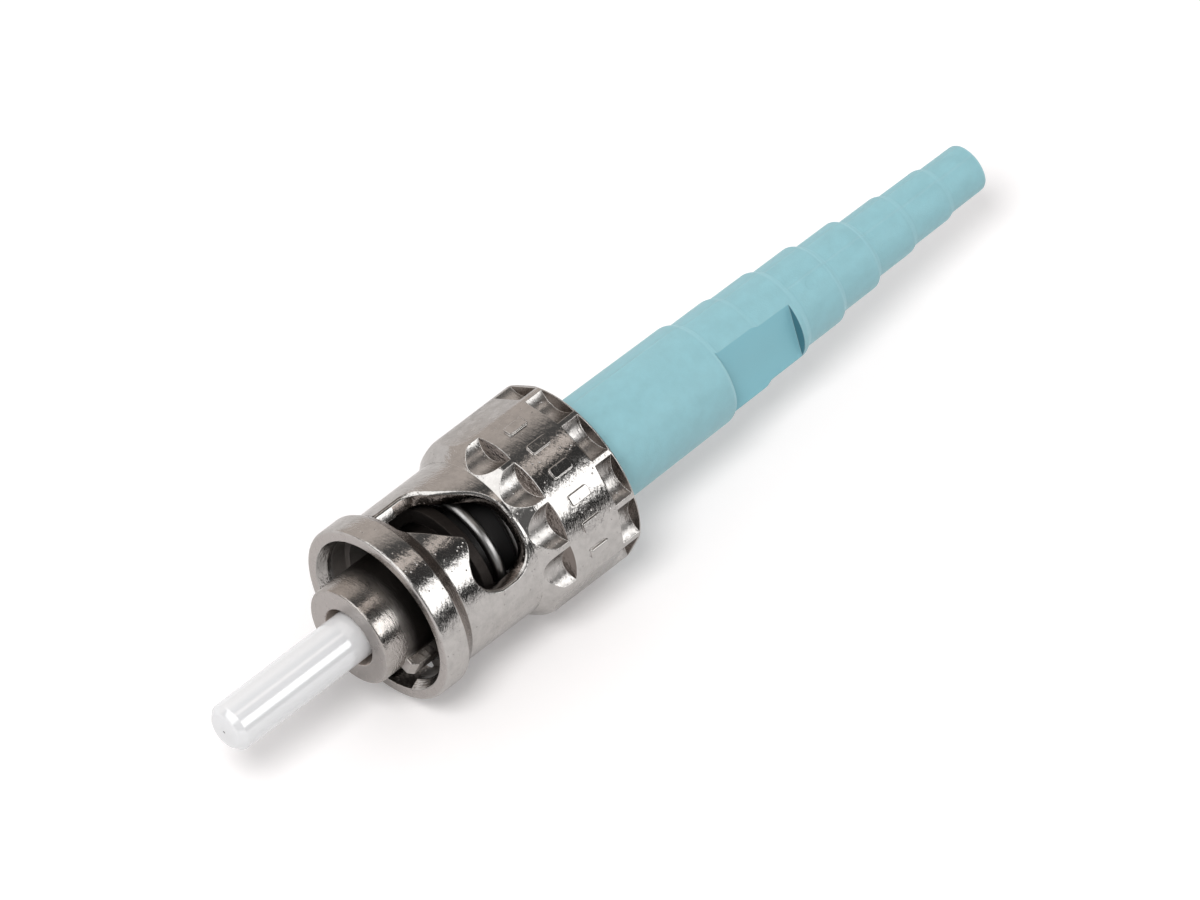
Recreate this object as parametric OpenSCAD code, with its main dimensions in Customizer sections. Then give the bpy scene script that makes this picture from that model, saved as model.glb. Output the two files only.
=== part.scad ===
// Bayonet-coupled fibre connector, field-mounted kind, with its boot on.
// All sizes in mm. +X runs along the connector's axis and out of the ferrule tip.
// The origin is on the axis, in the plane of the keyed barrel's front face. +Z is up.

/* [Ferrule] */
// Diameter of the ceramic ferrule
ferrule_d = 2.5; // [2.48:0.005:2.51]
// Length of ferrule that stands out of the keyed barrel
ferrule_out = 8.2; // [6:0.1:10]
// Length of ferrule held inside the ferrule holder
ferrule_grip = 2.6; // [2:0.1:3.2]
// Width of the chamfer round the ferrule tip
ferrule_chamfer = 0.4; // [0.1:0.05:0.6]
// How much the ferrule's radius is reduced behind the barrel's front face
ferrule_relief = 0.17; // [0.16:0.01:0.25]
// Diameter of the bare glass fibre
fibre_d = 0.125; // [0.125:0.005:0.14]

/* [Keyed barrel] */
// Outer diameter of the barrel that enters the mating adapter
barrel_d = 5.25; // [5.1:0.05:5.4]
// Diameter of the barrel's front hole, open round the ferrule
barrel_mouth_d = 3.1; // [2.9:0.05:3.4]
// Distance from the barrel's front face to the front of the spring collar
barrel_len = 5.9; // [5.5:0.1:6.3]
// Thickness of the spring collar
collar_t = 0.6; // [0.5:0.05:0.9]
// Width of the key
key_w = 1.0; // [0.8:0.05:1.3]
// Height of the key above the barrel
key_h = 0.6; // [0.4:0.05:0.65]
// Distance of the key's front end behind the barrel's front face
key_setback = 1.2; // [0.8:0.1:2]
// Direction of the key round the axis, from +Y towards +Z
key_angle = -18; // [-40:1:10]

/* [Coupling nut] */
// Outer diameter of the nut's plain front cylinder
nut_d = 8.5; // [8.3:0.05:8.8]
// Bore of the nut
nut_bore_d = 7.1; // [7:0.05:7.3]
// Overall length of the nut
nut_len = 12.65; // [12.2:0.05:13]
// Distance of the nut's front face behind the barrel's front face
nut_setback = 1.9; // [1.7:0.1:2.2]
// Diameter of the front flange
flange_d = 9.5; // [9.3:0.05:9.8]
// Width of the front flange
flange_w = 1.75; // [1.5:0.05:2]
// Size of the rounded edges of the front flange
flange_edge = 0.16; // [0.05:0.01:0.3]
// Diameter of the grip
grip_d = 9.8; // [9.6:0.05:10.1]
// Length of the grip
grip_len = 5.95; // [5.7:0.05:6.2]
// Number of scallops on each side of the grip
scallops = 4; // [3:1:4]
// Angle between neighbouring scallops
scallop_pitch = 29; // [27:0.5:30]
// Distance from the grip's front face to the end wall of the front scallops
scallop_front = 1.7; // [1.4:0.05:1.9]
// Distance from the nut's rear face to the end wall of the rear scallops
scallop_rear = 1.3; // [1:0.05:1.5]
// Width of the rim behind the rear scallops
rim_w = 0.12; // [0.08:0.01:0.3]
// Width of a scallop where it meets the grip
scallop_w = 2.2; // [1.9:0.05:2.25]
// Depth of a scallop's floor below the grip
scallop_depth = 0.62; // [0.5:0.01:0.7]
// Direction of the middle of a scalloped side, from +Y towards +Z
grip_angle = 54; // [50:1:58]
// Number of raised bars on each scalloped side of the grip
bars = 6; // [4:1:7]
// Angle between neighbouring bars
bar_pitch = 18; // [14:0.5:18]
// Height of the raised bars
bar_h = 0.12; // [0.05:0.01:0.2]

/* [Bayonet slot] */
// Width of the lug groove and of the slot's mouth
lug_w = 1.8; // [1.6:0.05:1.9]
// Direction of the lug groove, from +Y towards +Z
slot_angle = 110; // [105:1:115]
// Turn from the lug groove to the crest of the ramp
slot_crest_turn = 44; // [40:1:46]
// Turn from the lug groove to the end of the slot
slot_turn = 88; // [86:1:92]
// Distance from the nut's front face to the crest of the ramp
slot_crest = 4.05; // [3.8:0.05:4.2]
// Distance from the nut's front face to the seat of the detent
slot_seat = 3.32; // [3:0.05:3.4]
// Distance from the nut's front face to the back of the slot
slot_back = 6.5; // [6.2:0.05:6.6]

/* [Spring] */
// Wire diameter of the spring
wire_d = 0.6; // [0.5:0.02:0.64]
// Number of open turns of the spring, between its two closed end turns
open_turns = 2; // [1.5:0.25:3]

/* [Holder and splice] */
// Outer diameter of the ferrule holder
holder_d = 4.0; // [3.9:0.02:4.06]
// Distance of the ferrule holder's front face behind the barrel's front face
holder_setback = 2; // [1.8:0.1:2.4]
// Distance from the barrel's front face to the rear end of the ferrule holder
holder_end = 22; // [21.8:0.1:22.4]
// Distance from the rear end of the splice pair to the rear end of the ferrule holder
splice_tail = 1.7; // [1.5:0.1:2]
// Diameter of the splice pair inside the holder
splice_d = 2.8; // [2.6:0.05:2.9]
// Length of the splice pair
splice_len = 5.2; // [4.6:0.1:5.4]
// Width of the keel's rib, which stands out through the holder's window
rib_w = 0.9; // [0.7:0.05:1.1]
// Wall of the cam sleeve
cam_wall = 0.26; // [0.22:0.01:0.28]
// Thickness of the snap ring and of the thrust washer
ring_t = 0.45; // [0.4:0.05:0.5]
// Outer diameter of the lead-in tube
lead_d = 2.8; // [2.6:0.05:2.9]
// Bore of the lead-in tube, for a tight-buffered fibre
lead_bore = 1.1; // [1:0.05:1.2]
// Length of the lead-in tube behind the holder
lead_out = 4.4; // [4:0.1:5]

/* [Boot] */
// Diameter of the boot where it leaves the nut
boot_d = 5.7; // [5.65:0.05:5.9]
// Length of the boot's wide front part behind the nut
boot_front = 8.35; // [8.2:0.05:8.8]
// Length of each step of the boot
boot_step = 2.62; // [2.5:0.01:2.7]
// Diameters of the boot's steps, from the nut to the cable end
boot_steps_d = [5.1, 4.8, 4.38, 3.82, 3.22, 2.88, 2.56];
// Length of the soft shoulder at each step of the boot
boot_shoulder = 0.35; // [0.2:0.05:0.5]
// Size of the rounded edge at the boot's cable end
boot_edge = 0.2; // [0.1:0.05:0.4]
// Bore at the boot's cable end
boot_bore = 1.1; // [1:0.05:1.3]
// Distance of the side pockets' floor from the axis
pocket_floor = 1.8; // [1.75:0.05:1.9]
// Direction of the first side pocket, from +Y towards +Z
pocket_angle = 18; // [0:1:30]

/* [Hidden] */
$fn = 96;

// Clearances
run_gap = 0.05;      // radial gap of a running fit
free_gap = 0.15;     // radial gap round a piece that turns or slides freely
bond_gap = 0.01;     // radial gap filled by the bond line
eps = 0.01;          // overlap of a cutter past the face that it opens

// Holder and barrel
barrel_r = barrel_d / 2;
shank_r = ferrule_d / 2 - ferrule_relief;
holder_r = holder_d / 2;
holder_front = -holder_setback;
ferrule_end = holder_front - ferrule_grip;
collar_front = -barrel_len;
collar_back = collar_front - collar_t;
collar_r = nut_bore_d / 2 - free_gap;

// Nut
nut_r = nut_d / 2;
bore_r = nut_bore_d / 2;
nut_front = -nut_setback;
nut_back = nut_front - nut_len;
flange_r = flange_d / 2;
flange_back = nut_front - flange_w;
flange_bore_r = bore_r + 0.32;           // bore inside the flange
mouth_r = bore_r + 0.6;                  // lead-in at the nut's front face, and lug groove
mouth_depth = 0.5;
wall_t = 0.8;                            // thickness of the nut's rear wall
recess_depth = 1.15;                     // rear recess that hides the snap ring
wall_back = nut_back + recess_depth;
wall_front = wall_back + wall_t;
recess_r = boot_d / 2 + 0.35;
grip_r = grip_d / 2;
grip_land = 0.1;                         // least width of sleeve between slot and grip
grip_front = min(nut_back + grip_len, nut_front - slot_back - grip_land);
grip_slope = 0.9;                        // length of the cone at the grip's front
grip_edge = 0.1;                         // chamfer at the grip's rear
scallop_floor = grip_r - scallop_depth;  // radius of the scallops' floor
scallop_sag = grip_r * cos(asin(scallop_w / grip_d)) - scallop_floor;
scallop_r = scallop_w * scallop_w / (8 * scallop_sag) + scallop_sag / 2;
scallop_c = scallop_floor + scallop_r;   // radius at which the scallop cutters stand
scallop_draft = 0.3;                     // slope of the scallops' end walls along the axis
rim_draft = 0.12;                        // slope of the rim's front along the axis
flat_half = (180 - scallops * scallop_pitch) / 4;
flat_d = grip_r * cos(flat_half * 0.9);  // distance of the grip's flats from the axis
bar_w = 0.55;
bar_len = 1.15;
band_mid = (grip_front - scallop_front + nut_back + scallop_rear) / 2;

// Spring, washer and snap ring
washer_back = wall_front;
washer_front = washer_back + ring_t;
spring_r = bore_r - free_gap - 0.1 - wire_d / 2;
spring_front = collar_back;
spring_back = washer_front;
ring_front = wall_back;
ring_back = ring_front - ring_t;
groove_depth = 0.25;
ring_gap_angle = 50;

// Splice, cam and lead-in tube
holder_back = -holder_end;
splice_back = holder_back + splice_tail;
splice_front = splice_back + splice_len;
splice_r = splice_d / 2;
fibre_r = fibre_d / 2;
chamber_r = splice_r + run_gap;
window_w = rib_w + 0.2;
cam_r_in = holder_r + run_gap;
cam_r_out = cam_r_in + cam_wall;
cam_front = splice_front - 0.1;
cam_back = splice_back - 0.1;
relief_depth = 0.12;
lead_r = lead_d / 2;
lead_front = splice_back - 0.2;
lead_back = holder_back - lead_out;
crimp_wall = 0.25;
crimp_front = holder_back - 0.6;
crimp_back = lead_back + 0.4;

// Boot
boot_r = boot_d / 2;
boot_nose = ring_back - 0.3;             // front end of the boot, inside the nut's recess
boot_taper = 0.1;                        // how much the wide part narrows towards the steps
boot_first = nut_back - boot_front;
boot_count = len(boot_steps_d);
boot_end = boot_first - boot_count * boot_step;
cavity_r = cam_r_out + 0.1;              // boot's room for the cam sleeve
cavity_back = holder_back - 0.2;
boot_grip_r = lead_r + crimp_wall + 0.02;
boot_grip_back = lead_back - 0.3;
pocket_back = boot_first - 2 * boot_step + 0.25;

// Solid of revolution about +X, from a profile of [x, radius] points
module turned(profile) {
    rotate([0, 90, 0])
        rotate_extrude()
            polygon([for (p = profile) [p[1], p[0]]]);
}

// Cylinder along +X from x0 up to x1
module rod(x0, x1, r) {
    translate([x0, 0, 0])
        rotate([0, 90, 0])
            cylinder(h = x1 - x0, r = r);
}

// Tube along +X from x0 up to x1
module tube(x0, x1, r_out, r_in) {
    difference() {
        rod(x0, x1, r_out);
        rod(x0 - eps, x1 + eps, r_in);
    }
}

// Turns children so that their +Y points at an angle measured from +Y towards +Z
module at_angle(a) {
    rotate([a, 0, 0]) children();
}

// Ferrule: ceramic cylinder with a chamfered tip and a fine fibre hole, ground to size
// where it stands out of the barrel and relieved behind that, where it is held
module ferrule() {
    r = ferrule_d / 2;
    hole_r = fibre_r + bond_gap;
    color("white")
        turned([
            [ferrule_end, hole_r],
            [ferrule_end, shank_r - 0.1],
            [ferrule_end + 0.1, shank_r],
            [0, shank_r],
            [0, r],
            [ferrule_out - ferrule_chamfer, r],
            [ferrule_out - 0.06, r - ferrule_chamfer * 0.75],
            [ferrule_out, r - ferrule_chamfer * 1.3],
            [ferrule_out, hole_r]
        ]);
}

// Bare fibre bonded in the ferrule and ending half way along the splice
module fibre_stub() {
    color("lightcyan")
        rod(splice_front - splice_len / 2, ferrule_out - 0.02, fibre_r);
}

// Barrel: tube with a collar for the spring, and a key that sets its angle in the adapter
module keyed_barrel() {
    edge = 0.12;
    root = 0.2;
    seat_r = holder_r + bond_gap;
    key_end = collar_front - eps;
    color("gainsboro")
        union() {
            turned([
                [0, barrel_mouth_d / 2],
                [0, barrel_r - edge],
                [-edge, barrel_r],
                [collar_front, barrel_r],
                [collar_front, collar_r],
                [collar_back, collar_r],
                [collar_back, seat_r],
                [holder_front, seat_r],
                [holder_front, barrel_mouth_d / 2]
            ]);
            at_angle(key_angle)
                translate([key_end, barrel_r - root, -key_w / 2])
                    cube([-key_setback - key_end, key_h + root, key_w]);
        }
}

// Blend between list entries: a smooth curve through points whose first value rises
function slope_at(p, i) =
    i == 0 ? (p[1][1] - p[0][1]) / (p[1][0] - p[0][0])
    : i == len(p) - 1 ? (p[i][1] - p[i - 1][1]) / (p[i][0] - p[i - 1][0])
    : (p[i + 1][1] - p[i - 1][1]) / (p[i + 1][0] - p[i - 1][0]);
function span_of(p, a, i = 0) =
    i >= len(p) - 2 || a <= p[i + 1][0] ? i : span_of(p, a, i + 1);
function curve_at(p, a) =
    let (
        i = span_of(p, a),
        w = p[i + 1][0] - p[i][0],
        t = (a - p[i][0]) / w,
        t2 = t * t,
        t3 = t2 * t
    )
    (2 * t3 - 3 * t2 + 1) * p[i][1] + (t3 - 2 * t2 + t) * w * slope_at(p, i)
    + (3 * t2 - 2 * t3) * p[i + 1][1] + (t3 - t2) * w * slope_at(p, i + 1);

// Half the angle that the lug groove takes at the nut's outer surface
lug_half = asin(lug_w / nut_d);

// Slot's front edge: mouth, ramp, crest and detent, as [turn from the groove, distance back].
// It starts inside the flange, so that the ramp leaves the flange's back face at an angle.
slot_front_edge = [
    [lug_half - 3, flange_w - 0.25],
    [slot_crest_turn * 0.6, flange_w + (slot_crest - flange_w) * 0.43],
    [slot_crest_turn * 0.88, slot_crest - 0.4],
    [slot_crest_turn, slot_crest],
    [slot_crest_turn + 7, slot_crest - 0.14],
    [slot_turn - 28, slot_seat + 0.18],
    [slot_turn - 18, slot_seat],
    [slot_turn - 8, slot_seat + 0.28],
    [slot_turn - 3, slot_seat + 0.7],
    [slot_turn, slot_seat + 1.2]
];

// Slot's back edge: side of the mouth, ramp and round end
slot_back_edge = [
    [-lug_half, slot_back - 2.9],
    [-lug_half * 0.7, slot_back - 2.4],
    [4, slot_back - 1.9],
    [17, slot_back - 1.1],
    [24, slot_back - 0.62],
    [32, slot_back - 0.25],
    [41, slot_back - 0.05],
    [slot_turn - 36, slot_back],
    [slot_turn - 25, slot_back],
    [slot_turn - 12.5, slot_back - 0.13],
    [slot_turn - 5, slot_back - 0.48],
    [slot_turn - 1.5, slot_back - 0.9],
    [slot_turn, slot_back - 1.3]
];

// Cutter for one slot: the outline is laid out flat in a few sectors round the sleeve, and
// each sector cuts straight in along its own middle direction
module slot_cutter() {
    sectors = 5;
    steps = 6;
    reach = 1.2;
    r_flat = nut_r + 0.1;
    start = -lug_half;
    sweep = (slot_turn - start) / sectors;
    for (s = [0:sectors - 1]) {
        middle = start + (s + 0.5) * sweep;
        turn = [for (i = [0:steps]) start + (s + i / steps) * sweep];
        front = [for (a = turn)
            [nut_front - curve_at(slot_front_edge, max(a, lug_half - 3)), r_flat * tan(middle - a)]];
        back = [for (i = [steps:-1:0])
            [nut_front - curve_at(slot_back_edge, turn[i]), r_flat * tan(middle - turn[i])]];
        at_angle(-middle)
            translate([0, nut_r + 0.3, 0])
                rotate([90, 0, 0])
                    linear_extrude(reach)
                        polygon(concat(front, back));
    }
}

// Scallop cutter: a round bar that stands beside the grip, with a sloping end. Its other end
// is open, or slopes too where a rim is left.
module scallop_cutter(face, length, way, rim = 0) {
    end_r = scallop_c - grip_r - 0.02;
    open_end = [[0, -1], [scallop_r, -1]];
    rim_end = [[0, rim], [end_r, rim], [scallop_r, rim + rim_draft]];
    inner_end = [[scallop_r, length - scallop_draft], [end_r, length], [0, length]];
    translate([face, scallop_c, 0])
        rotate([0, 90 * way, 0])
            rotate_extrude($fn = 64)
                polygon(concat(rim > 0 ? rim_end : open_end, inner_end));
}

// Scallops: both rows on the scalloped sides, and the rear row also on the flats
module scallop_cutters() {
    for (side = [0, 180]) {
        for (i = [0:scallops - 1])
            at_angle(grip_angle + side + (i - (scallops - 1) / 2) * scallop_pitch) {
                scallop_cutter(grip_front, scallop_front, -1);
                scallop_cutter(nut_back, scallop_rear, 1, rim_w);
            }
        for (s = [-1, 1])
            at_angle(grip_angle + 90 + side + s * flat_half)
                scallop_cutter(nut_back, scallop_rear, 1, rim_w);
    }
}

// Drum of the grip, coned at the front, with a pair of flats between the scalloped sides
module grip_drum() {
    difference() {
        turned([
            [grip_front, bore_r],
            [grip_front, nut_r - 0.05],
            [grip_front - grip_slope, grip_r],
            [nut_back + grip_edge, grip_r],
            [nut_back, grip_r - grip_edge],
            [nut_back, bore_r]
        ]);
        for (side = [0, 180], s = [-1, 1])
            at_angle(grip_angle + 90 + side + s * flat_half)
                translate([nut_back - 1, flat_d, -grip_r])
                    cube([grip_len + 2, grip_r, grip_d]);
    }
}

// Grip: scalloped drum with a short row of raised bars on each scalloped side
module grip() {
    difference() {
        grip_drum();
        scallop_cutters();
    }
    for (side = [0, 180], i = [0:bars - 1])
        at_angle(grip_angle + side + (i - (bars - 1) / 2) * bar_pitch)
            translate([band_mid - bar_len / 2, grip_r - 0.3, -bar_w / 2])
                cube([bar_len, 0.3 + bar_h, bar_w]);
}

// Flange with a quarter-round edge, drawn in three strokes, at each side
module flange() {
    e = flange_edge;
    half = e * (1 - cos(45));
    turned([
        [flange_back, bore_r],
        [flange_back, flange_r - e],
        [flange_back + half, flange_r - half],
        [flange_back + e, flange_r],
        [nut_front - e, flange_r],
        [nut_front - half, flange_r - half],
        [nut_front, flange_r - e],
        [nut_front, bore_r]
    ]);
}

// Coupling nut: flange, slotted sleeve and grip, bored from both ends up to a thin wall
module coupling_nut() {
    color("silver")
        difference() {
            union() {
                difference() {
                    rod(grip_front - 1, flange_back + eps, nut_r);
                    for (side = [0, 180])
                        at_angle(slot_angle + side) slot_cutter();
                }
                flange();
                grip();
            }
            turned([
                [nut_front + 1, 0],
                [nut_front + 1, mouth_r],
                [nut_front, mouth_r],
                [nut_front - mouth_depth, flange_bore_r],
                [flange_back, flange_bore_r],
                [flange_back, bore_r],
                [wall_front, bore_r],
                [wall_front, holder_r + free_gap],
                [wall_back, holder_r + free_gap],
                [wall_back, recess_r],
                [nut_back - 1, recess_r],
                [nut_back - 1, 0]
            ]);
            intersection() {
                rod(flange_back, nut_front + 1, mouth_r);
                at_angle(slot_angle)
                    translate([flange_back, -mouth_r, -lug_w / 2])
                        cube([flange_w + 1, 2 * mouth_r, lug_w]);
            }
        }
}

// Place of the wire's centre along the spring after t turns: closed, open, closed
function wire_x(t, from, to) =
    let (
        closed = wire_d + 0.01,
        open_pitch = (from - to - 2 * closed) / open_turns
    )
    t < 1 ? from - closed * t
    : t < 1 + open_turns ? from - closed - open_pitch * (t - 1)
    : to + closed * (2 + open_turns - t);

// Compression spring: round wire wound between the barrel's collar and the thrust washer
module spring() {
    sides = 8;
    per_turn = 24;
    start_angle = 150;
    r = wire_d / 2;
    steps = (2 + open_turns) * per_turn;
    from = spring_front - r - 0.02;
    to = spring_back + r + 0.02;
    points = [for (i = [0:steps]) for (k = [0:sides - 1])
        let (
            a = start_angle + 360 * i / per_turn,
            q = 360 * (k + 0.5) / sides,
            rr = spring_r + r * cos(q)
        )
        [wire_x(i / per_turn, from, to) + r * sin(q), rr * cos(a), rr * sin(a)]];
    walls = [for (i = [0:steps - 1]) for (k = [0:sides - 1])
        let (a = sides * i + k, b = sides * i + (k + 1) % sides)
        each [[a, b, b + sides], [a, b + sides, a + sides]]];
    first = [for (k = [sides - 1:-1:0]) k];
    last = [for (k = [0:sides - 1]) sides * steps + k];
    color("dimgray")
        polyhedron(points, concat(walls, [first], [last]), convexity = 10);
}

// Washer that lets the nut turn on the end of the spring
module thrust_washer() {
    color("lightgray")
        tube(washer_back, washer_front, collar_r, holder_r + free_gap);
}

// Split ring in the holder's groove that keeps the nut on
module snap_ring() {
    r_in = holder_r - groove_depth + run_gap;
    r_out = holder_r + 0.75;
    color("slategray")
        difference() {
            tube(ring_back, ring_front, r_out, r_in);
            translate([ring_back - 1, -r_out * sin(ring_gap_angle / 2), 0])
                cube([ring_t + 2, 2 * r_out * sin(ring_gap_angle / 2), r_out + 1]);
        }
}

// Holder: body tube that carries the ferrule, the splice, the cam and the lead-in tube
module ferrule_holder() {
    fibre_way = 0.3;
    groove_r = holder_r - groove_depth;
    color("dimgray")
        difference() {
            turned([
                [holder_front, shank_r + bond_gap],
                [holder_front, holder_r],
                [ring_front + 0.02, holder_r],
                [ring_front + 0.02, groove_r],
                [ring_back - 0.02, groove_r],
                [ring_back - 0.02, holder_r],
                [holder_back, holder_r],
                [holder_back, chamber_r],
                [splice_front + 0.1, chamber_r],
                [splice_front + 0.1, fibre_way],
                [ferrule_end, fibre_way],
                [ferrule_end, shank_r + bond_gap]
            ]);
            translate([splice_back - 0.1, -window_w / 2, 0])
                cube([splice_len + 0.2, window_w, holder_r + 1]);
        }
}

// Half-round block inside the splice chamber, from its flat face outwards
module splice_half(flat_z, way) {
    intersection() {
        rod(splice_back, splice_front, splice_r);
        translate([splice_back - 1, -splice_d, way > 0 ? flat_z : flat_z - splice_d])
            cube([splice_len + 2, 2 * splice_d, splice_d]);
    }
}

// Lower half of the splice, with the groove that lines the two fibres up
module splice_base() {
    groove = fibre_r * sqrt(2) + bond_gap;
    color("ivory")
        difference() {
            splice_half(-0.02, -1);
            rotate([45, 0, 0])
                translate([splice_back - 1, -groove / sqrt(2), -groove / sqrt(2)])
                    cube([splice_len + 2, groove * sqrt(2), groove * sqrt(2)]);
        }
}

// Upper half of the splice, with a rib that the cam presses through the window
module splice_keel() {
    color("bisque")
        union() {
            splice_half(fibre_r + bond_gap, 1);
            intersection() {
                rod(splice_back, splice_front, holder_r);
                translate([splice_back, -rib_w / 2, splice_r / 2])
                    cube([splice_len, rib_w, holder_r]);
            }
        }
}

// Cam: turns a quarter on the holder, from its relief over the rib to its full wall
module cam_sleeve() {
    color("wheat")
        difference() {
            rod(cam_back, cam_front, cam_r_out);
            rod(cam_back - 1, cam_front + 1, cam_r_in);
            translate([cam_back - 1, -window_w / 2, 0])
                cube([cam_front - cam_back + 2, window_w, cam_r_in + relief_depth]);
        }
}

// Lead-in tube: guides the buffered fibre into the splice
module lead_in_tube() {
    cone = 0.5;
    color("dimgray")
        turned([
            [lead_front, fibre_r + 0.1],
            [lead_front, lead_r],
            [lead_back, lead_r],
            [lead_back, lead_bore / 2],
            [lead_front - cone, lead_bore / 2]
        ]);
}

// Crimp ring: soft metal tube that is squeezed onto the lead-in tube
module crimp_ring() {
    color("silver")
        tube(crimp_back, crimp_front, lead_r + crimp_wall, lead_r + bond_gap);
}

// Boot: stepped sleeve, wide over the cam and narrow at the cable, with two side pockets
module boot() {
    draft = 0.02;
    last_r = boot_steps_d[boot_count - 1] / 2 - draft;
    steps = [for (i = [0:boot_count - 1]) each [
        [boot_first - i * boot_step - boot_shoulder, boot_steps_d[i] / 2],
        [boot_first - (i + 1) * boot_step + (i == boot_count - 1 ? boot_edge : 0),
            boot_steps_d[i] / 2 - draft]
    ]];
    color("mediumaquamarine")
        difference() {
            turned(concat(
                [
                    [boot_nose, cavity_r],
                    [boot_nose, boot_r],
                    [boot_first, boot_r - boot_taper]
                ],
                steps,
                [
                    [boot_end + boot_edge * 0.3, last_r - boot_edge * 0.3],
                    [boot_end, last_r - boot_edge],
                    [boot_end, boot_bore / 2],
                    [boot_grip_back, boot_bore / 2],
                    [boot_grip_back, boot_grip_r],
                    [cavity_back, boot_grip_r],
                    [cavity_back, cavity_r]
                ]
            ));
            for (side = [0, 180])
                at_angle(pocket_angle + side)
                    translate([pocket_back, pocket_floor, -boot_r])
                        cube([boot_first - boot_shoulder / 2 - pocket_back, boot_r, boot_d]);
        }
}

ferrule();
fibre_stub();
keyed_barrel();
coupling_nut();
spring();
thrust_washer();
snap_ring();
ferrule_holder();
splice_base();
splice_keel();
cam_sleeve();
lead_in_tube();
crimp_ring();
boot();
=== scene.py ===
# %% [markdown]
# # A bayonet fibre connector, dressed in Blender
# The connector is 49 mm long. A white ceramic ferrule stands out of a keyed metal barrel, a
# die-cast bayonet nut turns round it against a spring, and a stepped rubber boot carries the
# cable. The frame gives every solid its place and its motion. This lesson adds what a hand
# and an eye notice: soft cast edges, a plated skin, round spring wire and moulded rubber.
# The view and the light come first, then the finishes, then the pieces one by one.

# %% Load the frame
import bpy
import math
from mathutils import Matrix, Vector


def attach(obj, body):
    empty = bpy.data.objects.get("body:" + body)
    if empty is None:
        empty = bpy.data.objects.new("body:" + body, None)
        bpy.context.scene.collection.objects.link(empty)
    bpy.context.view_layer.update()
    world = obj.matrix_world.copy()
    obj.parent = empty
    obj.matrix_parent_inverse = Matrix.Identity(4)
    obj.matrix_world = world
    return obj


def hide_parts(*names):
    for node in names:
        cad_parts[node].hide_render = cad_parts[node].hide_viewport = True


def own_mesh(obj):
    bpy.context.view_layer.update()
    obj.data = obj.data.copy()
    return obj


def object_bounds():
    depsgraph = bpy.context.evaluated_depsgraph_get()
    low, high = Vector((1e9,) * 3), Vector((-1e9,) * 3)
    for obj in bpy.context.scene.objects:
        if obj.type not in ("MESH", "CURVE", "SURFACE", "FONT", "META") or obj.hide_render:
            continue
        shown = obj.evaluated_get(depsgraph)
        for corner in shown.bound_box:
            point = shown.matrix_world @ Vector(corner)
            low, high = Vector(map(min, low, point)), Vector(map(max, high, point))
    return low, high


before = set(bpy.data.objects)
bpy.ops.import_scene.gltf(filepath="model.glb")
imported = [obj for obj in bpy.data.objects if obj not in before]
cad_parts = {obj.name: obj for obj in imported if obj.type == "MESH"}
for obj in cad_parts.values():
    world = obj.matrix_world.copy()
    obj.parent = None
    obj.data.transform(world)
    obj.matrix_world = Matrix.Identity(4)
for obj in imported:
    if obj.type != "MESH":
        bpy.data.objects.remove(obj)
cad_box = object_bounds()
print("nodes:", ", ".join(sorted(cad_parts)))

# %% [markdown]
# ## Camera
# A long lens far away keeps the parallel edges of so small an object almost parallel. The
# camera looks down at the ferrule's end from the front right. It could be placed by hand, but
# two angles and a distance are easier to change, and the lens then follows from how many
# millimetres the view is wide.

# %% Camera
MM = 0.001
LOOK_AT = Vector((-16.50, 0.11, -0.07)) * MM
AZIMUTH, ELEVATION = math.radians(45.3), math.radians(50.2)
CAMERA_FAR, VIEW_WIDTH = 1.9, 56.6 * MM

towards = Vector((math.cos(ELEVATION) * math.cos(AZIMUTH),
                  math.cos(ELEVATION) * math.sin(AZIMUTH), math.sin(ELEVATION)))
bpy.ops.object.camera_add(location=LOOK_AT + towards * CAMERA_FAR)
camera = bpy.context.object
camera.rotation_euler = (-towards).to_track_quat("-Z", "Y").to_euler()
camera.data.lens = camera.data.sensor_width * CAMERA_FAR / VIEW_WIDTH
camera.data.clip_start, camera.data.clip_end = 0.01, 20
bpy.context.scene.camera = camera
bpy.context.scene.view_settings.view_transform = "Standard"
print(f"lens {camera.data.lens:.0f} mm at {CAMERA_FAR} m")

# %% [markdown]
# ## Small helpers for nodes
# Every finish below is a handful of nodes. Nodes can be placed one by one in the editor, but
# in a script each takes several lines. `Net` wraps a node tree, so that one line is enough: an
# input given as a number is typed into its socket, and an input given as another node's output
# is linked. The nodes that come back most have a short call of their own.

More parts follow.
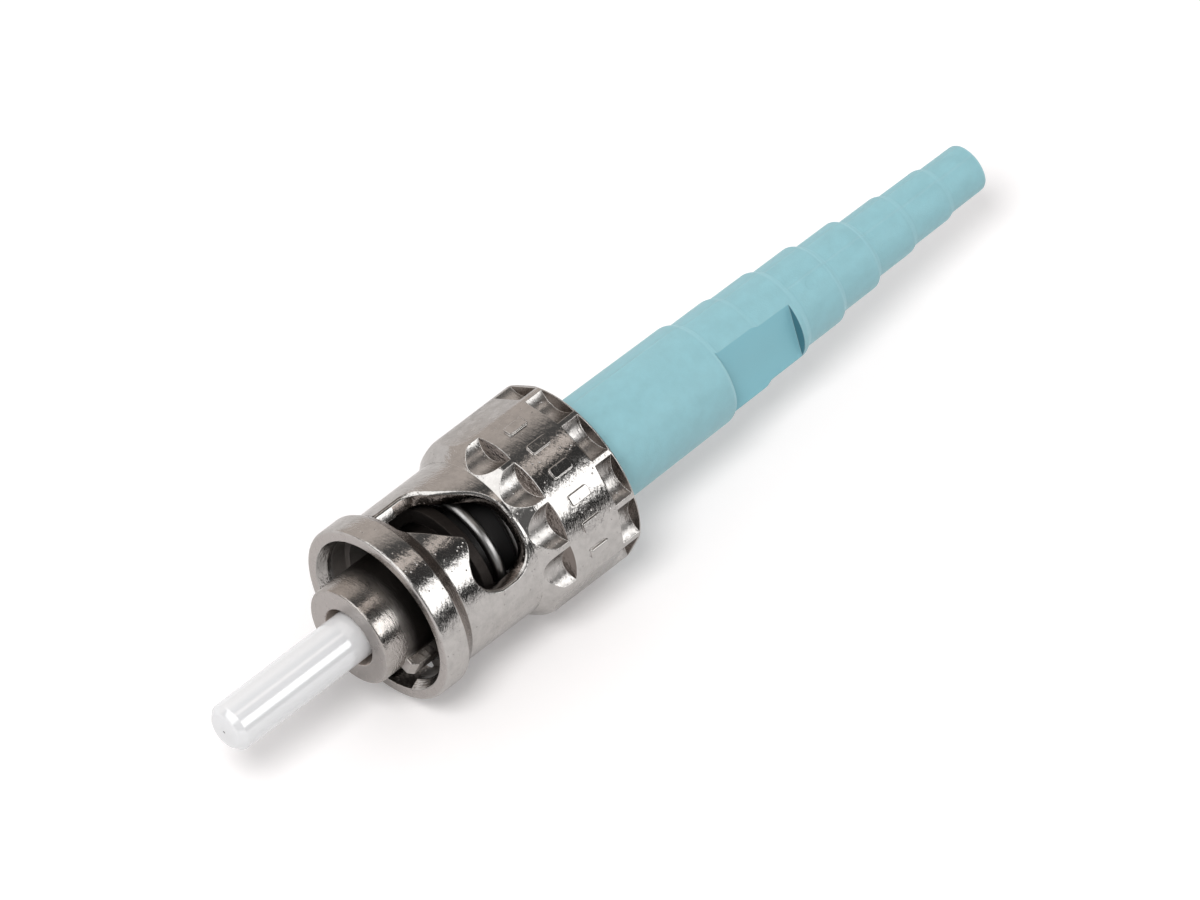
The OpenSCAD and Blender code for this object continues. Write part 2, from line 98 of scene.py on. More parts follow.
# %% Node helper
class Net:
    """A node tree in which a node is placed and wired in one call."""
    def __init__(self, tree):
        self.tree = tree

    def put(self, kind, wires=None, **settings):
        node = self.tree.nodes.new("ShaderNode" + kind)
        for name, value in settings.items():
            setattr(node, name, value)
        for socket, value in (wires or {}).items():
            if isinstance(value, bpy.types.NodeSocket):
                self.tree.links.new(value, node.inputs[socket])
            else:
                node.inputs[socket].default_value = value
        return node

    def math(self, operation, a, b=0.0, clamp=False):
        return self.put("Math", {0: a, 1: b}, operation=operation, use_clamp=clamp).outputs[0]

    def ramp(self, value, stops):
        node = self.put("ValToRGB", {0: value})
        keys = node.color_ramp.elements
        while len(keys) < len(stops):
            keys.new(0.5)
        for key, (place, level) in zip(keys, stops):
            key.position = place
            key.color = (*level, 1) if isinstance(level, tuple) else (level, level, level, 1)
        return node.outputs[0]

    def mix(self, share, colour, other):
        other = (*other, 1) if isinstance(other, tuple) else other
        return self.put("MixRGB", {0: share, 1: colour, 2: other}).outputs[0]

    def remap(self, value, low, high, to_low=0.0, to_high=1.0, curve="LINEAR"):
        return self.put("MapRange", {"Value": value, "From Min": low, "From Max": high,
                                     "To Min": to_low, "To Max": to_high},
                        interpolation_type=curve).outputs[0]

    def vector(self, operation, a, b=(0, 0, 0)):
        node = self.put("VectorMath", {0: a, 1: b}, operation=operation)
        one_number = operation in ("LENGTH", "DISTANCE", "DOT_PRODUCT")
        return node.outputs["Value" if one_number else "Vector"]

    def noise(self, place, scale, detail, roughness):
        return self.put("TexNoise", {"Vector": place, "Scale": scale, "Detail": detail,
                                     "Roughness": roughness}).outputs["Fac"]

    def group(self, tree, wires):
        return self.put("Group", wires, node_tree=tree)


# %% [markdown]
# A node group is a small machine that several materials share. Its sockets are named here,
# its nodes are placed by the cell that needs it, and a last call wires up what it puts out.

# %% Empty node group
def new_group(name, inputs, outputs):
    """Returns a new group's Net, what its inputs give, and a function that ends the group."""
    tree = bpy.data.node_groups.new(name, "ShaderNodeTree")
    for socket, (kind, value) in inputs.items():
        made = tree.interface.new_socket(socket, in_out="INPUT", socket_type="NodeSocket" + kind)
        made.default_value = value
    for socket, kind in outputs.items():
        tree.interface.new_socket(socket, in_out="OUTPUT", socket_type="NodeSocket" + kind)
    start = tree.nodes.new("NodeGroupInput")
    end = tree.nodes.new("NodeGroupOutput")

    def finish_group(**wires):
        for socket, value in wires.items():
            tree.links.new(value, end.inputs[socket])
        print(f"node group {name}: {len(tree.nodes)} nodes")
        return tree
    return Net(tree), start.outputs, finish_group


# %% [markdown]
# ## Table
# The connector lies on a white table. The table glows a little for the camera, so that it
# reads as paper white and still takes the soft shadow. Stronger lamps would whiten it too, but
# they would bleach the connector. The glow grows with distance, where less light falls.

# %% Table
FLOOR_SIZE, GLOW_FROM, GLOW_TO = 12, 0.08, 0.5
GLOW_NEAR, GLOW_FAR = 0.16, 0.5

bpy.ops.mesh.primitive_plane_add(size=FLOOR_SIZE, location=(0, 0, cad_box[0][2]))
floor = bpy.context.object
floor.name = "floor"
paper = bpy.data.materials.new("white_table")
paper.use_nodes = True
net = Net(paper.node_tree)
paper.node_tree.nodes.clear()
path = net.put("LightPath").outputs
seen = net.math("ADD", net.math("ADD", path["Is Camera Ray"], path["Is Glossy Ray"]),
                path["Is Transmission Ray"], clamp=True)
plain = net.put("BsdfDiffuse", {"Color": (0.8, 0.8, 0.8, 1)}).outputs[0]
catch = net.put("BsdfDiffuse", {"Color": (0.932, 0.906, 0.903, 1)}).outputs[0]
away = net.vector("LENGTH", net.put("TexCoord").outputs["Object"])
rise = net.remap(away, GLOW_FROM, GLOW_TO, GLOW_NEAR, GLOW_FAR)
glow = net.put("Emission", {"Color": (1, 1, 1, 1), "Strength": rise}).outputs[0]
lit = net.put("AddShader", {0: catch, 1: glow}).outputs[0]
net.put("OutputMaterial", {0: net.put("MixShader", {0: seen, 1: plain, 2: lit}).outputs[0]})
floor.data.materials.append(paper)
print(f"table {FLOOR_SIZE} m wide at z = {floor.location.z / MM:.1f} mm")

# %% [markdown]
# ## Studio
# What metal mirrors matters more than what lights it: a tall soft box on the right, a dim
# ceiling with a thin light strip, a grey wall on the left. Panels could stand round the
# connector, but it is simpler to paint the world by the angle round the connector's axis, and
# then every round nickel surface shows the same bands.

# %% Directions in the world
world = bpy.data.worlds.new("studio")
bpy.context.scene.world = world
world.use_nodes = True
world.node_tree.nodes.clear()
net = Net(world.node_tree)
xyz = net.put("SeparateXYZ", {0: net.put("TexCoord").outputs["Generated"]}).outputs
turn = net.math("DIVIDE", net.math("ARCTAN2", xyz["Z"], xyz["Y"]), 2 * math.pi)
turn = net.math("ADD", turn, 0.5)


def at(degrees):
    """Place on the world's ramp of a direction round the axis, from +Y up to +Z."""
    return degrees / 360 + 0.5


print(f"on the ramp, the table is at {at(-90)} and the ceiling at {at(90)}")

# %% Bands that the nickel mirrors
WARM = (1.0, 0.91, 0.85)
wall, strip = tuple(0.82 * c for c in WARM), tuple(1.15 * c for c in WARM)
SOFT_BOX, FRONT_BOX, DARK = 3.1, 2.2, 0.04
bands = net.ramp(turn, [
    (at(-180), 0.70), (at(-90), 0.95), (at(-4), 0.92),                   # table
    (at(3), DARK), (at(20), DARK),                                       # dark room
    (at(25), SOFT_BOX), (at(50), SOFT_BOX),                              # tall soft box
    (at(55), 0.07), (at(80), 0.05), (at(84), strip), (at(93), strip),    # ceiling and its strip
    (at(98), 0.10), (at(112), 0.11), (at(136), wall), (at(179.9), wall)])
front = [(at(-180), 0.7), (at(0), 0.7), (at(8), 0.2), (at(60), 0.2),
         (at(72), FRONT_BOX), (at(140), FRONT_BOX)]


def cover(under, over, start, end):
    """One pattern takes over from another as directions lean from start to end along X."""
    return net.mix(net.remap(xyz["X"], start, end), under, over)


# Further ahead two other patterns take over, and straight behind it is dim.
bands = cover(bands, net.ramp(turn, front + [(at(148), wall), (at(179.9), wall)]), 0.16, 0.3)
bands = cover(bands, net.ramp(turn, front + [(at(144), DARK), (at(179.9), DARK)]), 0.55, 0.65)
bands = cover(bands, (0.16, 0.155, 0.15), -0.72, -0.86)
print(f"soft box {SOFT_BOX}, wall {wall[0]:.2f}, strip {strip[0]:.2f}")

# %% Soft light for everything else
SOFT_LEVEL, LEAN_X, LEAN_Y = 0.64, -0.35, -0.25
path = net.put("LightPath").outputs
dome = net.ramp(xyz["Z"], [(0.0, 0.9), (1.0, 1.0)])
lean = net.math("ADD", net.math("ADD", 1.0, net.math("MULTIPLY", xyz["X"], LEAN_X)),
                net.math("MULTIPLY", xyz["Y"], LEAN_Y))
mirror = net.put("Background", {0: bands, 1: 1.0}).outputs[0]
soft = net.put("Background", {0: dome, 1: net.math("MULTIPLY", lean, SOFT_LEVEL)}).outputs[0]
white = net.put("Background", {0: (1, 1, 1, 1), 1: 1.0}).outputs[0]
inner = net.put("MixShader", {0: path["Is Glossy Ray"], 1: soft, 2: mirror}).outputs[0]
behind = net.math("ADD", path["Is Camera Ray"], path["Is Transmission Ray"], clamp=True)
net.put("OutputWorld", {0: net.put("MixShader", {0: behind, 1: inner, 2: white}).outputs[0]})
print(f"world: {len(world.node_tree.nodes)} nodes")

# %% [markdown]
# ## Key lamp
# One broad round lamp, high on the front side, gives the soft shadow under the boot. A small
# lamp would give a hard one. Metal doesn't mirror it, because its bands come from the world.

# %% Key lamp
LAMP_FROM, LAMP_FAR, LAMP_SIZE, LAMP_WATTS = Vector((0.45, 0.19, 0.87)), 0.6, 0.24, 1.75

bpy.ops.object.light_add(type="AREA", location=LOOK_AT + LAMP_FROM.normalized() * LAMP_FAR)
lamp = bpy.context.object
lamp.name = "key_soft"
lamp.data.shape, lamp.data.size, lamp.data.energy = "DISK", LAMP_SIZE, LAMP_WATTS
lamp.rotation_euler = LAMP_FROM.to_track_quat("Z", "Y").to_euler()
lamp.visible_glossy = False
print(f"{lamp.name}: {LAMP_WATTS} W, {LAMP_SIZE} m across, {LAMP_FAR} m away")

# %% [markdown]
# ## Shared surface effects
# No real surface has one even colour. A painted skin could show that, but a pattern made of
# nodes has no joins and stays sharp from close by. Each effect is a node group with its own
# sockets, so that every material can set it in its own way.
#
# The cast skin comes first. It gives plated metal its faint orange peel, drawn out along the
# polishing marks round the axis, and a few pits.

# %% Group: cast skin
def cast_skin():
    """Fine streaks round the axis, peel, and a few pits; mottle for colour and roughness."""
    net, given, done = new_group("cast skin", {
        "Streaks per metre": ("Float", 12000.0), "Peel per metre": ("Float", 4500.0),
        "Pits per metre": ("Float", 6000.0), "Pit share": ("Float", 0.1)},
        {"Height": "Float", "Mottle": "Float", "Pits": "Float"})
    place = net.put("TexCoord").outputs["Object"]
    drawn = net.vector("MULTIPLY", place, (1.0, 0.25, 0.25))
    loose = net.vector("MULTIPLY", place, (1.0, 0.5, 0.5))
    streaks = net.noise(drawn, given["Streaks per metre"], 3.0, 0.6)
    peel = net.noise(loose, given["Peel per metre"], 2.0, 0.55)
    cells = net.put("TexVoronoi", {"Vector": place, "Scale": given["Pits per metre"]})
    lucky = net.math("LESS_THAN", net.put("SeparateXYZ", {0: cells.outputs["Color"]}).outputs[0],
                     given["Pit share"])
    pits = net.math("MULTIPLY", lucky, net.remap(cells.outputs["Distance"], 0.1, 0.32, 1.0, 0.0))
    height = net.math("ADD", net.math("MULTIPLY", streaks, 0.8), net.math("MULTIPLY", peel, 0.6))
    height = net.math("SUBTRACT", height, net.math("MULTIPLY", pits, 0.6))
    mottle = net.noise(place, net.math("MULTIPLY", given["Peel per metre"], 0.5), 5.0, 0.65)
    return done(Height=height, Mottle=mottle, Pits=pits)


CAST_SKIN = cast_skin()

# %% [markdown]
# ### Places on the metal
# Bright plate looks dark where it can mirror only its own inside, as in a bore and on the
# walls of a slot, and the finishes paint that dark in as shade. Such places could be painted on
# the mesh, but then a new shape would need new paint. These masks follow from a point's
# radius, its place along the axis and the way it faces. All lengths in nodes are in metres.

# %% Group: places
LATER = 1.3e-3                                      # outside "Late above", the dark starts later
GRIP_RING, GRIP_FROM = (4.1e-3, 4.87e-3), -8.65e-3  # the hollows lie in this ring, behind this
SLOT_RING, SLOT_BACK = (3.45e-3, 4.09e-3), -8.7e-3  # the slots' walls, up to their outer lip
SLOT_PLATE, SLOT_DARK = -3.7e-3, -5.0e-3            # they are plated behind the first of
                                                    # these, and in shade behind the second
FLANGE_SLOPE = (-4.05e-3, -3.2e-3)                  # the flange's sloping rear edge
INNER_R, HOLE_R = 4.0e-3, 1.7e-3


def places():
    """Masks: deep inside, facing ahead, low, the grip's hollows, walls in painted shade, a small
    hole.
    """
    net, given, done = new_group("places", {
        "Deep from": ("Float", -2.5e-3), "Deep to": ("Float", -3.5e-3),
        "Late above": ("Float", 1.0)},
        {"Deep": "Float", "Ahead": "Float", "Low": "Float", "Hollow": "Float", "Wall": "Float",
         "Hole": "Float"})
    coords = net.put("TexCoord").outputs
    x = net.put("SeparateXYZ", {0: coords["Object"]}).outputs["X"]
    ahead = net.put("SeparateXYZ", {0: coords["Normal"]}).outputs["X"]
    across = net.vector("MULTIPLY", coords["Object"], (0, 1, 1))
    radius = net.vector("LENGTH", across)
    facing = net.vector("DOT_PRODUCT", coords["Normal"], net.vector("NORMALIZE", across))

    def within(value, low, high):
        return net.math("MULTIPLY", net.math("GREATER_THAN", value, low),
                        net.math("LESS_THAN", value, high))

    outer = net.math("GREATER_THAN", radius, given["Late above"])
    late = net.math("ADD", x, net.math("MULTIPLY", outer, LATER))
    deep = net.remap(late, given["Deep from"], given["Deep to"], curve="SMOOTHSTEP")
    inward, front = net.remap(facing, -0.3, -0.6), net.remap(ahead, 0.9, 0.98)
    grip = net.math("MULTIPLY", within(radius, *GRIP_RING), net.math("LESS_THAN", x, GRIP_FROM))
    hollow = net.math("MULTIPLY", grip, within(ahead, -0.3, 0.3))
    # The hollows' end walls, the walls deep in the slots and the flange's sloping rear edge get
    # painted shade.
    wall = net.math("MULTIPLY", grip, within(ahead, 0.74, 1.1))
    slot = net.math("MULTIPLY", within(radius, *SLOT_RING), net.math("GREATER_THAN", facing, -0.6))
    bright = net.math("MULTIPLY", slot, within(x, SLOT_BACK, SLOT_PLATE))
    slot = net.math("MULTIPLY", slot, within(x, SLOT_BACK, SLOT_DARK))
    slope = net.math("MULTIPLY", within(ahead, -0.8, -0.35), within(x, *FLANGE_SLOPE))
    wall = net.math("ADD", wall, net.math("ADD", slot, slope), clamp=True)
    low = net.math("MULTIPLY", net.math("LESS_THAN", radius, INNER_R),
                   net.math("SUBTRACT", 1.0, bright))
    hole = net.math("MULTIPLY", inward, net.math("LESS_THAN", radius, HOLE_R))
    return done(Deep=deep, Ahead=front, Low=low, Hollow=hollow, Wall=wall, Hole=hole)


PLACES = places()

# %% [markdown]
# ### Moulded skin
# Plastic and rubber copy the even fine grain of their mould, and their colour clouds a little
# where the melt ran. Two noises of different size are enough for both.

# %% Group: moulded skin
def moulded_skin():
    """Even fine grain for the height, and soft clouds for colour and roughness."""
    net, given, done = new_group("moulded skin", {
        "Grain per metre": ("Float", 20000.0), "Cloud per metre": ("Float", 400.0)},
        {"Height": "Float", "Cloud": "Float"})
    place = net.put("TexCoord").outputs["Object"]
    return done(Height=net.noise(place, given["Grain per metre"], 2.0, 0.5),
                Cloud=net.noise(place, given["Cloud per metre"], 5.0, 0.6))


MOULDED_SKIN = moulded_skin()

# %% [markdown]
# ### Parting seam
# A mould comes apart in halves, and a thin raised line stays on the rubber where they met. It
# could be modelled as a ridge, but it is thinner than a hair, so a little height in the
# material shows it better.

# %% Group: parting seam
def seam():
    """A thin raised line where the two halves of a mould met, in a plane through the X axis."""
    net, given, done = new_group("seam", {"Angle": ("Float", 0.0), "Behind": ("Float", 0.0),
                                          "Half width": ("Float", 1e-4)}, {"Seam": "Float"})
    where = net.put("SeparateXYZ", {0: net.put("TexCoord").outputs["Object"]}).outputs
    off = net.math("SUBTRACT", net.math("MULTIPLY", where["Z"], net.math("COSINE", given["Angle"])),
                   net.math("MULTIPLY", where["Y"], net.math("SINE", given["Angle"])))
    near = net.remap(net.math("ABSOLUTE", off), 0.0, given["Half width"], 1.0, 0.0)
    behind = net.math("LESS_THAN", where["X"], given["Behind"])
    return done(Seam=net.math("MULTIPLY", near, behind))


SEAM = seam()

# %% [markdown]
# ### Marks on the boot
# The shoulders between the boot's rings are paler than their sides, a painted highlight. The
# two pressed flats are a deeper aqua and the small walls that face the nut lie in shade, both
# painted shade. A round dent on the third ring shows where the rubber was let into the mould.
# Each mask comes from the way a point faces and its place along the boot.

# %% Group: boot marks
BOOT_STEPS_FROM = -20e-3
FLAT_ANGLE, FLAT_FROM, FLAT_TO = 18, -23.1e-3, -27.88e-3
GATE_X, GATE_R, GATE_ANGLE = -29.6e-3, 1.91e-3, math.radians(62)
GATE = (GATE_X, GATE_R * math.cos(GATE_ANGLE), GATE_R * math.sin(GATE_ANGLE))
# Pale is a painted highlight on the shoulders; Flat and Shade are painted shade.
MARK_SHARES = (("Pale", (1.18, 1.15, 1.15)), ("Flat", (0.85, 0.99, 1.03)),
               ("Shade", (0.04, 0.23, 0.30)))      # red, green and blue against the plain rubber


def boot_marks():
    """Painted highlight where the boot is paler, painted shade where deeper or dark, and a dent."""
    net, given, done = new_group("boot marks", {"Flat angle": ("Float", math.radians(FLAT_ANGLE))},
                                 {"Pale": "Float", "Flat": "Float", "Shade": "Float",
                                  "Dent": "Float"})
    coords = net.put("TexCoord").outputs
    x = net.put("SeparateXYZ", {0: coords["Object"]}).outputs["X"]
    face = net.put("SeparateXYZ", {0: coords["Normal"]}).outputs
    rear = net.math("LESS_THAN", x, BOOT_STEPS_FROM)
    painted_highlight, wall = net.remap(face["X"], -0.2, -0.45), net.remap(face["X"], 0.4, 0.8)
    across = net.math("ADD",
                      net.math("MULTIPLY", face["Y"], net.math("COSINE", given["Flat angle"])),
                      net.math("MULTIPLY", face["Z"], net.math("SINE", given["Flat angle"])))
    flat = net.math("MULTIPLY", net.math("GREATER_THAN", net.math("ABSOLUTE", across), 0.992),
                    net.math("MULTIPLY", net.math("LESS_THAN", x, FLAT_FROM),
                             net.math("GREATER_THAN", x, FLAT_TO)))
    gate = net.vector("DISTANCE", coords["Object"], GATE)
    dent = net.remap(gate, 3.2e-4, 4.3e-4, 1.0, 0.0, curve="SMOOTHSTEP")
    return done(Pale=net.math("MULTIPLY", painted_highlight, rear), Flat=flat,
                Shade=net.math("MULTIPLY", wall, net.math("MULTIPLY", rear, 0.85)), Dent=dent)


BOOT_MARKS = boot_marks()

# %% [markdown]
# ### Edge light
# Edges of plate and of rubber are painted paler, a painted highlight where the shading turns.
# The Bevel node rounds the shading of an edge without new faces, and where its normal departs
# from the plain one there is an edge, so that one node gives both.

# %% Group: edge light
def edge_light():
    """Rounds the shading of an edge over a radius in metres, and marks where it did."""
    net, given, done = new_group("edge light", {"Radius": ("Float", 6e-5), "Gain": ("Float", 4.0)},
                                 {"Normal": "Vector", "Edge": "Float"})
    soft = net.put("Bevel", {"Radius": given["Radius"]}, samples=8).outputs[0]
    same = net.vector("DOT_PRODUCT", soft, net.put("NewGeometry").outputs["Normal"])
    edge = net.math("MULTIPLY", net.math("SUBTRACT", 1.0, same), given["Gain"], clamp=True)
    return done(Normal=soft, Edge=edge)


EDGE_LIGHT = edge_light()

# %% [markdown]
# ## Finishes
# A plated finish is a metal whose colour, roughness and height all vary a little. A moulded
# finish is a plain plastic or rubber with grain. Each could be a material of its own, but two
# recipes with different values make all of them, and what is learnt on one helps the rest.

# %% Recipe for metal
MOTTLE_LOW, MOTTLE_HIGH = 0.35, 0.62
# Faces that look ahead take the first colour, painted shade as a darker reflection.
FRONT_PAINTED_SHADE, HOLE_PAINTED_LIGHT = (0.40, 0.375, 0.36), (0.42, 0.36, 0.32)
# Walls keep this share of their colour, as painted shade.
WALL_PAINTED_SHADE = (0.40, 0.36, 0.34)


# inside is the colour of the deep inside: painted shade, and on the nut also bare casting.
def metal(name, colour, rough, vary, bump, streaks=12000.0, peel=4500.0, pit_share=0.12,
          edge_r=6e-5, deep=None, deep_all=False, inside=(0.14, 0.125, 0.115), late=1.0):
    """Plated or unplated metal; deep tells where along the axis its inside turns dark, painted
    shade.
    """
    made = bpy.data.materials.new(name)
    made.use_nodes = True
    net = Net(made.node_tree)
    skin = net.group(CAST_SKIN, {"Streaks per metre": streaks, "Peel per metre": peel,
                                 "Pit share": pit_share}).outputs
    edge_lit = net.group(EDGE_LIGHT, {"Radius": edge_r}).outputs
    dark = tuple(c * 0.86 for c in colour)
    bright = tuple(min(1, c * 1.25) for c in colour)
    tint = net.ramp(skin["Mottle"], [(MOTTLE_LOW, dark), (MOTTLE_HIGH, colour)])
    # Edges are painted brighter, a painted highlight.
    tint = net.mix(edge_lit["Edge"], tint, bright)
    level = net.remap(skin["Mottle"], MOTTLE_LOW, MOTTLE_HIGH, rough + vary, rough - vary)
    level = net.math("ADD", level, net.math("MULTIPLY", skin["Pits"], 0.25))
    shader = made.node_tree.nodes["Principled BSDF"]
    shader.inputs["Metallic"].default_value = 1.0
    shader.inputs["Specular Tint"].default_value = (0.8, 0.79, 0.78, 1)
    if deep:
        spot = net.group(PLACES, {"Deep from": deep[0], "Deep to": deep[1],
                                  "Late above": late}).outputs
        shade = tuple(c * k for c, k in zip(colour, WALL_PAINTED_SHADE))
        deep_shade = spot["Deep"] if deep_all else net.math("MULTIPLY", spot["Deep"], spot["Low"])
        # Painted shade: faces that look ahead, walls, the deep inside; painted light in the
        # barrel's hole.
        for mask, there in ((spot["Ahead"], FRONT_PAINTED_SHADE), (spot["Wall"], shade),
                            (deep_shade, inside), (spot["Hole"], HOLE_PAINTED_LIGHT)):
            tint = net.mix(mask, tint, there)
        extra = net.math("ADD", net.math("MULTIPLY", deep_shade, 0.35),
                         net.math("MULTIPLY", spot["Hollow"], 0.15))
        extra = net.math("ADD", extra, net.math("MULTIPLY", spot["Ahead"], 0.12))
        level = net.math("ADD", level, extra)
        # The barrel's hole wall loses its metal, its colour painted light for light bouncing round
        # the ferrule; on the nut the deep inside loses it, painted shade and bare casting.
        plain = net.math("SUBTRACT", 1.0, spot["Hole"] if deep_all else deep_shade)
        made.node_tree.links.new(plain, shader.inputs["Metallic"])
    relief = net.put("Bump", {"Height": skin["Height"], "Normal": edge_lit["Normal"],
                              "Strength": 1.0, "Distance": bump}).outputs[0]
    made.node_tree.links.new(tint, shader.inputs["Base Color"])
    made.node_tree.links.new(level, shader.inputs["Roughness"])
    made.node_tree.links.new(relief, shader.inputs["Normal"])
    print("finish:", name)
    return made


# %% Recipe for plastic, rubber and ceramic
SCATTER = (0.0012, 0.0012, 0.0012)
BOUNCE, BOUNCE_SHARE = (0.48, 0.48, 0.48), 0.6


def moulded(name, colour, rough, bump, grain=20000.0, cloud=400.0, vary=0.06, painted_highlight=0.0,
            ior=1.5, milky=0.0, clear=0.0, edge_r=8e-5, edge_share=1.0, seams=(), marks=None):
    """Plastic, rubber, ceramic or glass; each seam is an angle and where it starts, in mm."""
    made = bpy.data.materials.new(name)
    made.use_nodes = True
    net = Net(made.node_tree)
    skin = net.group(MOULDED_SKIN, {"Grain per metre": grain, "Cloud per metre": cloud}).outputs
    dark = tuple(c * (1 - vary) for c in colour)
    light = tuple(min(1, c * (1 + vary)) for c in colour)
    tint = net.ramp(skin["Cloud"], [(0.3, dark), (0.7, light)])
    edge_lit = net.group(EDGE_LIGHT, {"Radius": edge_r, "Gain": 6.0}).outputs
    # Edges are painted paler, a painted highlight.
    paler = tuple(c + (1 - c) * painted_highlight for c in colour)
    height = skin["Height"]
    light_at = net.math("MULTIPLY", edge_lit["Edge"], edge_share)
    for angle, start in seams:
        line = net.group(SEAM, {"Angle": math.radians(angle), "Behind": start * MM}).outputs["Seam"]
        height = net.math("ADD", height, net.math("MULTIPLY", line, 3.0))
        # The seam is painted a little paler too, a painted highlight on its ridge.
        light_at = net.math("ADD", light_at, net.math("MULTIPLY", line, 0.12), clamp=True)
    if marks:
        mark = net.group(marks, {}).outputs
        height = net.math("SUBTRACT", height, net.math("MULTIPLY", mark["Dent"], 3.0))
        # Painted highlight on the shoulders, painted shade on the flats and on the walls facing the
        # nut.
        for mask, share in MARK_SHARES:
            tint = net.mix(mark[mask], tint, tuple(c * k for c, k in zip(colour, share)))
        # What the rubber throws back on the table is greyer than the rubber itself.
        bounce = net.put("LightPath").outputs["Is Diffuse Ray"]
        tint = net.mix(net.math("MULTIPLY", bounce, BOUNCE_SHARE), tint, BOUNCE)
    tint = net.mix(light_at, tint, paler)
    level = net.remap(skin["Cloud"], 0.3, 0.7, rough * 0.88, min(1, rough * 1.12))
    relief = net.put("Bump", {"Height": height, "Normal": edge_lit["Normal"], "Strength": 1.0,
                              "Distance": bump}).outputs[0]
    shader = made.node_tree.nodes["Principled BSDF"]
    for socket, value in (("IOR", ior), ("Subsurface Weight", milky), ("Subsurface Scale", 1.0),
                          ("Subsurface Radius", SCATTER), ("Transmission Weight", clear)):
        shader.inputs[socket].default_value = value
    made.node_tree.links.new(tint, shader.inputs["Base Color"])
    made.node_tree.links.new(level, shader.inputs["Roughness"])
    made.node_tree.links.new(relief, shader.inputs["Normal"])
    print("finish:", name)
    return made


# %% [markdown]
# Nickel is a warm grey metal. The barrel's is darker than the nut's, partly as painted shade,
# since the barrel sits in the nut's mouth. Spring wire is drawn smooth, so it has no pits.
# After the name come the colour and the roughness.

# %% Metal finishes
# The nut's deep inside is painted shade and bare casting. On the barrel, the part that reaches into
# the nut is painted near black as the nut's shadow, starting later on the collar and key.
nickel_cast = metal("nickel_on_casting", (0.455, 0.44, 0.425), 0.14, 0.05, 2.4e-5,
                    deep=(-2.5e-3, -2.8e-3))
nickel_turned = metal("nickel_on_barrel", (0.38, 0.357, 0.337), 0.20, 0.05, 2.2e-5,
                      pit_share=0.04, deep=(-1.0e-3, -2.1e-3), deep_all=True,
                      inside=(0.030, 0.026, 0.024), late=2.72e-3)
spring_steel = metal("drawn_spring_wire", (0.33, 0.325, 0.32), 0.34, 0.04, 1.5e-6, pit_share=0.0)
ring_steel = metal("stamped_steel", (0.42, 0.42, 0.43), 0.3, 0.08, 4e-6, pit_share=0.0)
crimp_tin = metal("soft_crimp_metal", (0.66, 0.65, 0.63), 0.35, 0.08, 8e-6, pit_share=0.02)

# %% [markdown]
# The boot's aqua rubber is matt and lets a little light in. The ferrule's ceramic is polished
# and milky, and its high index gives it a glassy gloss without any coat.

# %% Moulded finishes
zirconia = moulded("white_zirconia", (0.83, 0.83, 0.84), 0.10, 2e-7, ior=2.1, milky=0.15, vary=0.01)
glass = moulded("bare_glass_fibre", (0.95, 0.97, 0.98), 0.03, 1e-8, ior=1.46, clear=1.0, vary=0.01,
                edge_r=1e-6)
boot_rubber = moulded("aqua_boot_rubber", (0.295, 0.55, 0.605), 0.52, 8e-6, grain=14000.0,
                      cloud=1400.0, vary=0.05, painted_highlight=0.3, milky=0.12, edge_r=1.0e-4, edge_share=0.3,
                      seams=((116, 0), (74, -28.4)), marks=BOOT_MARKS)
# The holder is painted almost black, painted shade for the dark inside of the nut.
holder_plastic = moulded("holder_plastic_painted_shade", (0.022, 0.021, 0.021), 0.45, 2e-6, painted_highlight=0.1)
splice_plastic = moulded("ivory_splice_plastic", (0.72, 0.66, 0.52), 0.35, 2e-6, painted_highlight=0.2)
cam_plastic = moulded("sand_cam_plastic", (0.62, 0.52, 0.36), 0.42, 2e-6, painted_highlight=0.2)

# %% [markdown]
# ## Helpers for modelling
# The pieces are modelled at workshop scale, where one unit is one millimetre, because many
# of Blender's tools have limits meant for larger things. Each finished piece is shrunk to
# metres at the end. The first helpers only say what is selected and in which mode.

# %% Selection and modifiers
def only(*pieces):
    """Deselects everything, then selects these pieces; the first is the active one."""
    if bpy.context.mode != "OBJECT":
        bpy.ops.object.mode_set(mode="OBJECT")
    bpy.ops.object.select_all(action="DESELECT")
    for piece in pieces:
        piece.select_set(True)
    bpy.context.view_layer.objects.active = pieces[0]


def edit(piece):
    """Opens a piece in edit mode with all of it selected."""
    only(piece)
    bpy.ops.object.mode_set(mode="EDIT")
    bpy.ops.mesh.select_all(action="SELECT")


def apply_modifier(piece, kind, **settings):
    """Adds a modifier with these settings and makes its result the mesh."""
    only(piece)
    made = piece.modifiers.new(kind.lower(), kind)
    for name, value in settings.items():
        setattr(made, name, value)
    bpy.ops.object.modifier_apply(modifier=made.name)


# %% [markdown]
# Most pieces are turned on a lathe or moulded round, so one helper makes every such shape.
# Spin could turn an outline, but a ring that is extruded and resized from point to point
# closes without a seam. A second helper rounds the outline's corners first.

